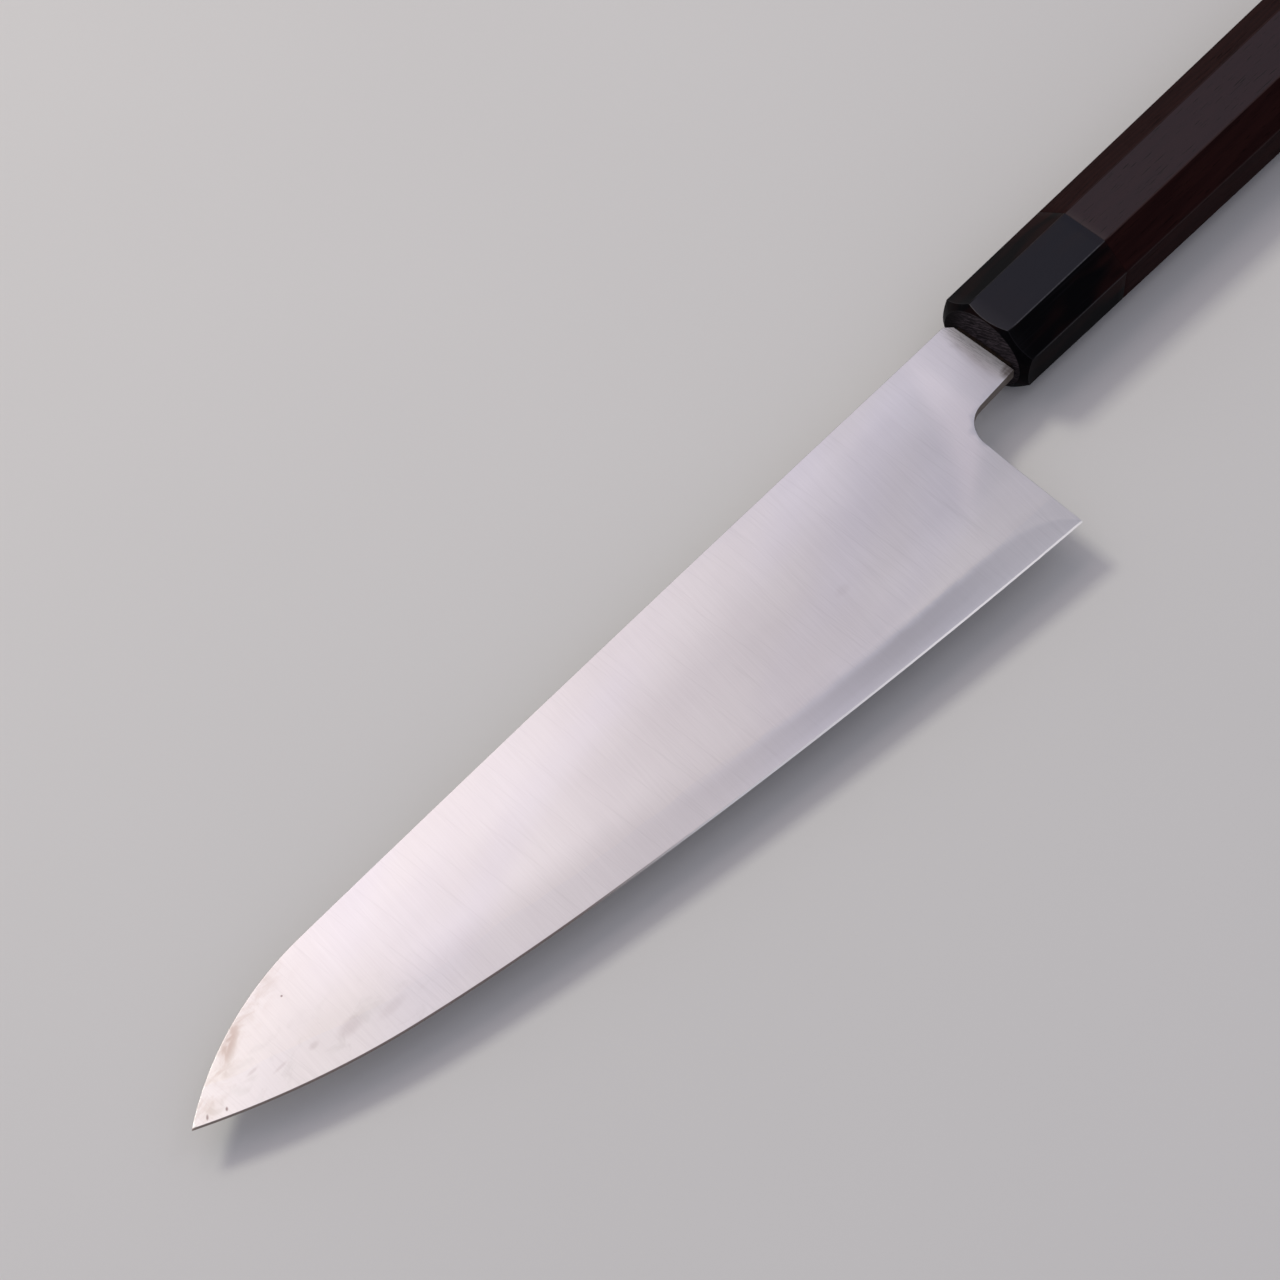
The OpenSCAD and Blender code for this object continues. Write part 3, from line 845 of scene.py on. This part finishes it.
def wood_material():
    """Dark red-brown rosewood, oiled: growth bands, dark streaks and open pores along the grain."""
    n = Nodes("grip_rosewood")
    drift = n.noise(n.space((70, 9, 9)), 2, 0.5)
    _, height, depth = n.axes()
    across = n.plus(n.times(height, 0.86), n.times(depth, 0.52))
    wave = n.plus(n.times(across, 1 / (2.6 * MM)), n.times(drift, 7.0))
    bands = n.math("SINE", n.times(wave, 2 * math.pi))
    bands = n.plus(n.times(bands, 0.5), 0.5)
    streak = n.noise(n.space((38, 0.7, 0.7)), 4, 0.62, 0.3)
    fibre = n.noise(n.space((9, 0.16, 0.16)), 3, 0.6)
    pores = n.noise(n.space((4.6, 0.22, 0.22), shift_mm=(2, 0, 0)), 1, 0.5)
    pores = n.rise(pores, 0.635, 0.72)
    wear_and_glint, flat = n.attribute("arris"), n.attribute("flat")

    tone = n.mix(bands, (0.0135, 0.0046, 0.0046), (0.0185, 0.0062, 0.0058))
    tone = n.mix(n.times(n.rise(streak, 0.45, 0.7), 0.4), tone, (0.010, 0.0040, 0.0042))
    tone = n.mix(n.times(n.rise(fibre, 0.5, 0.8), 0.3), tone, (0.032, 0.012, 0.011))
    # Painted purplish sky reflection on the two broad flats.
    tone = n.mix(n.times(flat, 0.5), tone, (0.027, 0.0125, 0.019))
    tone = n.mix(n.times(pores, 0.85), tone, (0.004, 0.0022, 0.0022))
    # Lighter arrises: partly wear, partly a painted glint.
    tone = n.mix(n.times(wear_and_glint, 0.35), tone, (0.060, 0.026, 0.024))

    relief = n.bump(n.times(pores, -1.0), 0.04, 0.6)
    return n.finish(
        Base_Color=tone,
        Roughness=n.plus(0.38, n.times(fibre, 0.14), n.times(pores, 0.25)),
        Normal=n.bump(n.plus(fibre, n.times(streak, 0.6)), 0.010, 0.4, relief),
        Specular_IOR_Level=n.plus(0.012, n.times(wear_and_glint, 0.2), n.times(flat, 0.318)),
    )


def seal_material():
    """Dark brown filler, rough and slightly uneven."""
    n = Nodes("seal_dark_brown")
    grain = n.noise(n.space((0.6, 0.6, 0.6)), 4, 0.6)
    tone = n.mix(n.rise(grain, 0.35, 0.7), (0.0035, 0.0022, 0.0018), (0.018, 0.010, 0.007))
    return n.finish(
        Base_Color=tone,
        Roughness=n.plus(0.55, n.times(grain, 0.3)),
        Normal=n.bump(grain, 0.08, 0.6),
        Specular_IOR_Level=0.08,
    )


def pale_wood_material():
    """Pale dowel wood with its grain lengthwise."""
    n = Nodes("dowel_pale_wood")
    grain = n.noise(n.space((30, 0.6, 0.6)), 4, 0.6)
    tone = n.mix(grain, (0.38, 0.25, 0.13), (0.60, 0.45, 0.27))
    return n.finish(
        Base_Color=tone,
        Roughness=n.plus(0.55, n.times(grain, 0.2)),
        Normal=n.bump(grain, 0.05, 0.5),
    )


def adhesive_material():
    """Amber adhesive, cured."""
    n = Nodes("adhesive_amber")
    grain = n.noise(n.space((1.2, 1.2, 1.2)), 3, 0.6)
    tone = n.mix(grain, (0.42, 0.27, 0.09), (0.62, 0.47, 0.22))
    return n.finish(
        Base_Color=tone,
        Roughness=n.plus(0.2, n.times(grain, 0.25)),
        Normal=n.bump(grain, 0.05, 0.4),
    )


def floor_material():
    """Pale matt board with a fine tooth."""
    n = Nodes("floor_pale")
    cloud = n.noise(n.space((220, 220, 220)), 3, 0.5)
    tooth = n.noise(n.space((1.1, 1.1, 1.1)), 3, 0.6)
    tone = n.mix(cloud, (0.68, 0.675, 0.655), (0.74, 0.735, 0.715))
    return n.finish(
        Base_Color=tone,
        Roughness=0.8,
        Normal=n.bump(tooth, 0.04, 0.4),
        Specular_IOR_Level=0.3,
    )


# ---------------------------------------------------------------- pieces of the knife

def make_blade():
    """The three layers of the blade, cut from one plan so that they meet without gaps."""
    plan, faces = blade_plan()
    half = half_thickness(plan)
    depth, along = edge_frame(plan)
    middle = plan[faces].mean(1)
    middle_depth, middle_along = edge_frame(middle)
    clad = (middle_depth > cladding_depth(middle_along)) | (middle[:, 0] < SHOULDER_X)
    feather = 0.003
    on_line = np.abs(depth - cladding_depth(along)) < 1e-3
    unevenness = 0.006 * np.sin(plan[:, 0] / 9.0) * np.sin(plan[:, 1] / 5.0 + 1)
    joint = np.minimum(HALF_CORE + unevenness, half - feather)
    covered = np.zeros(len(plan), bool)
    covered[np.unique(faces[clad])] = True
    covered[np.unique(faces[~clad])] = False
    core = np.where(covered & ~on_line, joint, half)
    band = (band_depth(along) - depth) / np.maximum(band_depth(along), 0.1)
    layers = {
        "edge_mm": depth,
        "along_mm": along,
        "band": np.clip(band, -1, 1),
        "root_mm": plan[:, 0] - SHOULDER_X,
        "spine_mm": spine_depth(plan),
    }

    sides = {}
    for face, covers in zip(faces, clad):
        for i in range(3):
            sides.setdefault(tuple(sorted((face[i], face[(i + 1) % 3]))), set()).add(bool(covers))
    bevel_start = np.abs(depth - BEVEL_WIDTH) < 1e-3
    line = [
        pair
        for pair, found in sides.items()
        if len(found) == 2 or (bevel_start[pair[0]] and bevel_start[pair[1]])
    ]

    def layer(name, part, top, bottom, material, node, slot):
        used, out, height = shell(part, len(plan), top, bottom)
        place = {int(v): i for i, v in enumerate(used)}
        seam = [tuple(sorted((place[a], place[b]))) for a, b in line if a in place and b in place]
        seam += [(a + len(used), b + len(used)) for a, b in seam]
        verts = np.column_stack([np.vstack([plan[used], plan[used]]), height])
        values = {k: np.concatenate([v[used], v[used]]) for k, v in layers.items()}
        piece = new_piece(name, verts, out, material, values, seam=seam)
        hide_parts(node)

    core_steel = steel_material("core_steel_polished", True)
    soft_steel = steel_material("cladding_steel_satin", False)
    layer("blade_core", faces, core, -core, core_steel, "hagane_core", "core_steel")
    for side, top, bottom in (("left", half, joint), ("right", -joint, -half)):
        node = "cladding_" + side
        layer("blade_" + node, faces[clad], top, bottom, soft_steel, node, "cladding_steel")


# How much the rings of the ferrule's turned chamfer are lightened, partly by wear and partly by a
# painted glint, from its outer bend to its inner one.
RIM_WEAR_AND_GLINT = (0.1, 0.7, 0.9, 0.7, 0.1, 0.0, 0.0, 0.2, 0.35, 0.2, 0.1)


def make_ferrule():
    """The horn collar: octagonal outside, a turned chamfer in front, the slot and the bore."""
    ease, corner_radius = 0.08, 0.2
    section, corner, flat = octagon(1.0, 0.0, corner_radius)
    reach = np.linalg.norm(section, axis=1)
    directions = section / reach[:, None]
    face = 1 / np.hypot(directions[:, 0] / FACE_HALF_Y, directions[:, 1] / FACE_HALF_Z)
    start_x = -(reach - face) / (FACE_SLOPE - TAPER * reach)
    start_r = reach * (1 - TAPER * start_x)
    bends = []
    for i in range(len(section)):
        side = np.array([start_x[i] - 4, reach[i] * (1 - TAPER * (start_x[i] - 4))])
        outer = np.array([start_x[i], start_r[i]])
        inner = np.array([0.0, face[i]])
        inward = np.array([0.0, face[i] - 3])
        arcs = fillet(side, outer, inner, 0.2, 5), fillet(outer, inner, inward, 0.22, 4)
        bends.append(np.vstack(arcs))
    bends = np.array(bends)
    rings, cut, wear_and_glint, broad = [], [], [], []

    def add(ring, cut_share, wear_glint_share, side=0.0):
        rings.append(ring)
        cut.append(np.full(len(ring), float(cut_share)))
        wear_and_glint.append(wear_glint_share + 0 * corner)
        broad.append(flat * side)

    end = -FERRULE_LENGTH
    for x, inset in ((end, ease), (end + ease * 0.3, ease * 0.3), (end + ease, 0)):
        add(at_x(octagon(handle_scale(x), inset, corner_radius)[0], x), 0, corner * 0.6, 1)
    for x in np.linspace(end + 2, -4, 10):
        add(at_x(octagon(handle_scale(x), 0, corner_radius)[0], x), 0, corner, 1)
    for k in range(bends.shape[1]):
        x, r = bends[:, k, 0], bends[:, k, 1]
        ring = np.column_stack([x, directions * r[:, None]])
        rim = RIM_WEAR_AND_GLINT[k] * (0.25 + 0.75 * flat)
        # The last three rings already lie on the face, where the horn was cut across.
        add(ring, 0 if k < 8 else 0.6, rim, k == 0)
    slot = box_ring(directions, SLOT_HALF_Y, SLOT_HALF_Z)
    for share in (0.97, 0.8, 0.6, 0.4):
        add(at_x(slot + (directions * face[:, None] - slot) * share, 0), 1, 0)
    add(at_x(box_ring(directions, SLOT_HALF_Y + 0.05, SLOT_HALF_Z + 0.05), 0), 1, 0)
    add(at_x(slot, -0.06), 1, 0)
    add(at_x(slot, -FERRULE_WALL), 0, 0)
    for x in (-FERRULE_WALL, end):
        add(at_x(directions * BORE_RADIUS, x), 0, 0)
    verts, faces = ring_solid(rings, True)
    values = {"cut": cut, "arris": wear_and_glint, "flat": broad}
    values = {key: np.concatenate(rows) for key, rows in values.items()}
    piece = new_piece("ferrule_horn", verts, faces, horn_material(), values, HANDLE_SHARP)
    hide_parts("ferrule")


def make_grip():
    """The tapered grip: from the end of the tang's room out to the front and back to the butt."""
    ease, corner_radius = 0.08, 0.28
    circle, corner, flat = octagon(1.0, 0.0, corner_radius)
    directions = circle / np.linalg.norm(circle, axis=1)[:, None]
    rings, wear_and_glint, broad = [], [], []

    def add(ring, share, side=0.0):
        rings.append(ring)
        wear_and_glint.append(share + 0 * corner)
        broad.append(flat * side)

    add(at_x(box_ring(directions, *ROOM_BACK_HALF), ROOM_BACK), 0)
    add(at_x(box_ring(directions, *ROOM_FRONT_HALF), BORE_BACK), 0)
    add(at_x(directions * BORE_RADIUS, BORE_BACK), 0)
    add(at_x(directions * BORE_RADIUS, -FERRULE_LENGTH), 0)
    for x, inset in ((0, ease), (ease * 0.3, ease * 0.3), (ease, 0)):
        x = -FERRULE_LENGTH - x
        add(at_x(octagon(handle_scale(x), inset, corner_radius)[0], x), corner * 0.5, 1)
    rim = BUTT_CHAMFER - HANDLE_LENGTH
    for x in np.linspace(-FERRULE_LENGTH - 2, rim + 1.5, 40):
        add(at_x(octagon(handle_scale(x), 0, corner_radius)[0], x), corner, 1)
    before, at = np.array([rim + 2, 0.0]), np.array([rim, 0.0])
    after = np.array([-HANDLE_LENGTH, BUTT_CHAMFER])
    inward = np.array([-HANDLE_LENGTH, BUTT_CHAMFER + 3])
    profile = np.vstack([fillet(before, at, after, 0.5, 4), fillet(at, after, inward, 0.4, 4)])
    for k, (x, inset) in enumerate(profile):
        add(at_x(octagon(handle_scale(rim), inset, corner_radius)[0], x), 0.5, k == 0)
    for share in (0.8, 0.55, 0.3):
        base = octagon(handle_scale(rim), BUTT_CHAMFER + 0.4, corner_radius)[0]
        add(at_x(base * share, -HANDLE_LENGTH), 0)
    verts, faces = ring_solid(rings, False)
    values = {"arris": wear_and_glint, "flat": broad}
    values = {key: np.concatenate(rows + [np.zeros(2)]) for key, rows in values.items()}
    outward = [f[::-1] for f in faces]
    piece = new_piece("grip_wood", verts, outward, wood_material(), values, HANDLE_SHARP)
    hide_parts("handle_body")


def make_seal():
    """Dark filler in the ferrule's slot and round the tang, up to the blade's shoulders."""
    count = 96
    t = np.linspace(0, 2 * math.pi, count, endpoint=False)
    directions = np.column_stack([np.cos(t), np.sin(t) * 0.25])
    directions /= np.linalg.norm(directions, axis=1)[:, None]
    wobble = 0.05 * np.sin(t * 9) + 0.04 * np.sin(t * 23 + 1)
    slot = box_ring(directions, SLOT_HALF_Y, SLOT_HALF_Z)
    rings = [at_x(slot, x) for x in (-FERRULE_WALL, -0.02)]
    bead_middle, bead_half_y, bead_half_z = 0.85, 6.85, 1.46
    for x, grow in ((0.0, 0.06), (0.2, 0.0), (0.45, -0.02), (SHOULDER_X + 0.02, -0.06)):
        ring = box_ring(directions, bead_half_y + grow, bead_half_z + grow)
        ring = ring * (1 + wobble[:, None] * 0.4) + [bead_middle, 0]
        rings.append(at_x(ring, x))
    tang = box_ring(directions, TANG_HALF_FRONT_Y, HALF_TANG_FRONT)
    rings += [at_x(tang, x) for x in (SHOULDER_X + 0.02, -FERRULE_WALL)]
    verts, faces = ring_solid(rings, True)
    piece = new_piece("seal_bead", verts, faces, seal_material())
    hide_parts("slot_seal")


def finish_hidden_nodes():
    """Materials for the two CAD nodes that stay as they are, inside the handle."""
    for node, material in (("dowel", pale_wood_material()), ("tang_adhesive", adhesive_material())):
        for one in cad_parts[node].material_slots:
            one.link = "OBJECT"
            one.material = material


# ---------------------------------------------------------------- studio

def make_floor():
    """The knife lies on a flat of its tapered handle, with the blade clear of the floor."""
    low = AXIS.z + CORNERS[:, 1].min() * MM
    slope = -CORNERS[:, 1].min() * TAPER
    size = 5.0
    sides = (-size, -size), (size, -size), (size, size), (-size, size)
    verts = [(x, y, low + slope * (x - AXIS.x)) for x, y in sides]
    mesh = bpy.data.meshes.new("floor")
    mesh.from_pydata(verts, [], [(0, 1, 2, 3)])
    mesh.materials.append(floor_material())
    floor = bpy.data.objects.new("floor", mesh)
    bpy.context.scene.collection.objects.link(floor)


# The point on the blade that the camera looks at. The lights are placed round it.
TARGET = AXIS + Vector((95.9, -4.4, 0)) * MM


def make_camera():
    """Long lens, looking down on the left face from the side of the tip and the edge."""
    azimuth, elevation, distance = math.radians(132.0), math.radians(57.4), 0.8709
    out = math.cos(elevation)
    back = Vector((math.sin(azimuth) * out, -math.cos(azimuth) * out, math.sin(elevation)))
    data = bpy.data.cameras.new("camera")
    data.sensor_width = 36.0
    data.lens = 129.4
    data.clip_start, data.clip_end = 0.05, 50
    camera = bpy.data.objects.new("camera", data)
    camera.location = TARGET + back * distance
    camera.rotation_mode = "QUATERNION"
    camera.rotation_quaternion = (-back).to_track_quat("-Z", "Y")
    bpy.context.scene.collection.objects.link(camera)
    bpy.context.scene.camera = camera


def panel(name, west, east, south, north, radiance, colour, height=1.3):
    """Level soft box over the knife. Its sides are given by how they slope away from the knife."""
    data = bpy.data.lights.new(name, "AREA")
    data.shape = "RECTANGLE"
    data.size, data.size_y = (east - west) * height, (north - south) * height
    data.energy = radiance * math.pi * data.size * data.size_y
    data.color = colour
    light = bpy.data.objects.new(name, data)
    light.location = TARGET + Vector(((west + east) / 2, (south + north) / 2, 1)) * height
    bpy.context.scene.collection.objects.link(light)


def make_lights():
    """Three soft boxes above the knife and an even, slightly blue surround."""
    panel("soft_box", -0.55, 0.6, -1.15, -0.28, 0.97, (1.0, 0.82, 0.79))
    panel("key", -0.08, 0.28, -1.1, -0.75, 17.0, (1.0, 1.0, 0.86))
    panel("edge_strip", -0.85, -0.42, 0.06, 0.36, 0.9, (1.0, 0.97, 0.95))
    world = bpy.data.worlds.new("studio")
    world.use_nodes = True
    background = world.node_tree.nodes["Background"]
    background.inputs["Color"].default_value = (0.86, 0.86, 1.0, 1)
    background.inputs["Strength"].default_value = 0.46
    bpy.context.scene.world = world


make_blade()
make_ferrule()
make_grip()
make_seal()
finish_hidden_nodes()
make_floor()
make_camera()
make_lights()

bpy.context.scene.view_settings.view_transform = "Standard"
